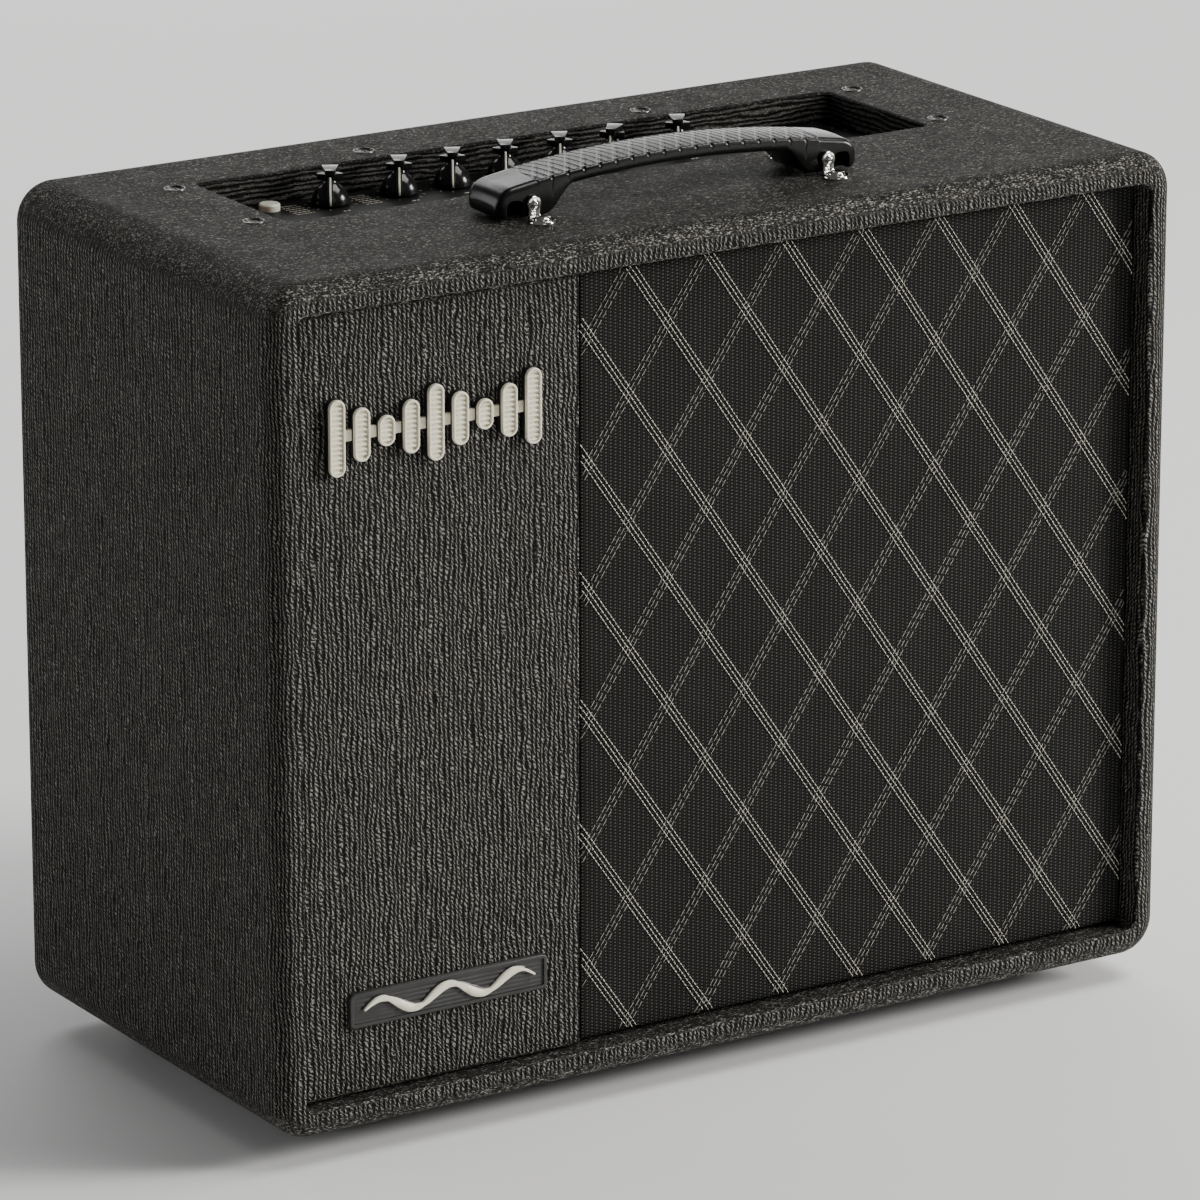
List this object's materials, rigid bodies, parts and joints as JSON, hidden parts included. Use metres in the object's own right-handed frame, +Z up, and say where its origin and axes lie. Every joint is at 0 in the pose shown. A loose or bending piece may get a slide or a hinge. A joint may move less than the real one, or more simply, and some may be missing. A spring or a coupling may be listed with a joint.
{
  "type": "guitar amplifier combo",
  "caption": "Guitar amplifier combo: vinyl-covered cabinet with a cloth grille, top control panel with pointer knobs, strap handle, loudspeaker and reflex port.",
  "frame": {"origin": "on the surface the feet stand on, below the middle of the cabinet", "axes": "+X to the right seen from the front, +Y from the front to the back, +Z up"},
  "size_m": [0.455, 0.224, 0.404],
  "materials": {
    "vinyl": "embossed matt vinyl covering",
    "board_wood": "raw board",
    "baffle_black": "board stained black",
    "panel_board": "black textured paint on board",
    "grille_fabric": "woven cloth with stitched diamonds",
    "cream_plastic": "satin cream moulding",
    "plate_black": "black moulding with cream ripple",
    "handle_plastic": "soft black moulding",
    "strip_steel": "spring steel strip",
    "bright_chrome": "polished plating",
    "panel_paint": "satin black with pale legends",
    "zinc_steel": "zinc-plated sheet",
    "foam_black": "closed-cell foam",
    "black_steel": "blackened steel",
    "knob_plastic": "glossy black with a cream pointer line",
    "pot_steel": "plated steel",
    "jack_plastic": "black nylon",
    "ivory_plastic": "satin ivory",
    "lamp_red": "clear red lens",
    "switch_plastic": "satin black",
    "circuit_green": "green lacquer",
    "component_black": "moulded packages",
    "valve_glass": "clear glass",
    "socket_ceramic": "unglazed ceramic",
    "bare_aluminium": "extruded",
    "basket_paint": "black enamel on pressed steel",
    "gasket_card": "pressed card",
    "ferrite": "bare ferrite",
    "cone_paper": "pressed paper pulp",
    "surround_cloth": "doped cloth",
    "spider_cloth": "resin-treated cloth",
    "copper_wire": "lacquered winding on its former",
    "tag_board": "phenolic board",
    "lead_plastic": "flexible sleeve",
    "foot_rubber": "moulded rubber"
  },
  "bodies": {
    "cabinet": {"top_board": "board_wood", "bottom_board": "board_wood", "side_boards": "board_wood", "vinyl_covering": "vinyl", "baffle_board": "baffle_black", "front_strip": "vinyl", "grille_frame": "baffle_black", "grille_cloth": "grille_fabric", "back_panel": "panel_board", "back_battens": "board_wood", "port_tube": "jack_plastic", "rubber_feet": "foot_rubber", "wood_screws": "black_steel", "badge": "cream_plastic", "nameplate": "plate_black", "handle_brackets": "bright_chrome", "handle_screws": "bright_chrome", "control_panel": "panel_paint", "chassis_tray": "zinc_steel", "chassis_rear": "zinc_steel", "chassis_gasket": "foam_black", "cup_washers": "black_steel", "chassis_screws": "black_steel", "potentiometers": "pot_steel", "pot_nuts": "pot_steel", "jack_sockets": "jack_plastic", "jack_nuts": "bright_chrome", "led_lenses": "lamp_red", "power_switch_body": "switch_plastic", "power_inlet": "jack_plastic", "circuit_board": "circuit_green", "circuit_components": "component_black", "valve": "valve_glass", "valve_socket": "socket_ceramic", "heatsink": "bare_aluminium", "speaker_basket": "basket_paint", "speaker_gasket": "gasket_card", "speaker_magnet": "ferrite", "speaker_pole": "pot_steel", "cone_surround": "surround_cloth", "spider": "spider_cloth", "speaker_terminals": "tag_board", "speaker_lead": "lead_plastic"},
    "knob_1": {"knob_1": "knob_plastic"},
    "knob_2": {"knob_2": "knob_plastic"},
    "knob_3": {"knob_3": "knob_plastic"},
    "knob_4": {"knob_4": "knob_plastic"},
    "knob_5": {"knob_5": "knob_plastic"},
    "knob_6": {"knob_6": "knob_plastic"},
    "knob_7": {"knob_7": "knob_plastic"},
    "preset_button": {"preset_button": "ivory_plastic"},
    "effect_button_1": {"effect_button_1": "ivory_plastic"},
    "effect_button_2": {"effect_button_2": "ivory_plastic"},
    "effect_button_3": {"effect_button_3": "ivory_plastic"},
    "power_rocker": {"power_rocker": "switch_plastic"},
    "handle": {"handle_grip": "handle_plastic", "handle_core": "strip_steel"},
    "cone_assembly": {"speaker_cone": "cone_paper", "dust_cap": "cone_paper", "voice_coil": "copper_wire"}
  },
  "joints": [
    {"name": "knob_1_turn", "type": "hinge", "parent": "cabinet", "child": "knob_1", "pos_m": [-0.104, 0.0505, 0.368], "axis": [0, 0, 1], "range_deg": [-300, 0]},
    {"name": "knob_2_turn", "type": "hinge", "parent": "cabinet", "child": "knob_2", "pos_m": [-0.0695, 0.0505, 0.368], "axis": [0, 0, 1], "range_deg": [-300, 0]},
    {"name": "knob_3_turn", "type": "hinge", "parent": "cabinet", "child": "knob_3", "pos_m": [-0.0425, 0.0505, 0.368], "axis": [0, 0, 1], "range_deg": [-300, 0]},
    {"name": "knob_4_turn", "type": "hinge", "parent": "cabinet", "child": "knob_4", "pos_m": [-0.0155, 0.0505, 0.368], "axis": [0, 0, 1], "range_deg": [-300, 0]},
    {"name": "knob_5_turn", "type": "hinge", "parent": "cabinet", "child": "knob_5", "pos_m": [0.0125, 0.0505, 0.368], "axis": [0, 0, 1], "range_deg": [-300, 0]},
    {"name": "knob_6_turn", "type": "hinge", "parent": "cabinet", "child": "knob_6", "pos_m": [0.04, 0.0505, 0.368], "axis": [0, 0, 1], "range_deg": [-285, 15]},
    {"name": "knob_7_turn", "type": "hinge", "parent": "cabinet", "child": "knob_7", "pos_m": [0.074, 0.0505, 0.368], "axis": [0, 0, 1], "range_deg": [-300, 0]},
    {"name": "preset_button_press", "type": "slide", "parent": "cabinet", "child": "preset_button", "axis": [0, 0, -1], "range_m": [0, 0.0008], "stiffness_N_per_m": 600},
    {"name": "effect_button_1_press", "type": "slide", "parent": "cabinet", "child": "effect_button_1", "axis": [0, 0, -1], "range_m": [0, 0.0008], "stiffness_N_per_m": 600},
    {"name": "effect_button_2_press", "type": "slide", "parent": "cabinet", "child": "effect_button_2", "axis": [0, 0, -1], "range_m": [0, 0.0008], "stiffness_N_per_m": 600},
    {"name": "effect_button_3_press", "type": "slide", "parent": "cabinet", "child": "effect_button_3", "axis": [0, 0, -1], "range_m": [0, 0.0008], "stiffness_N_per_m": 600},
    {"name": "power_rocker_tilt", "type": "hinge", "parent": "cabinet", "child": "power_rocker", "pos_m": [0.15, 0.018, 0.369], "axis": [1, 0, 0], "range_deg": [0, 16]},
    {"name": "handle_lift", "type": "slide", "parent": "cabinet", "child": "handle", "axis": [0, 0, 1], "range_m": [0, 0.0025]},
    {"name": "cone_travel", "type": "slide", "parent": "cabinet", "child": "cone_assembly", "axis": [0, -1, 0], "range_m": [-0.003, 0.003], "stiffness_N_per_m": 2000, "deforming": ["cone_surround", "spider"]}
  ]
}
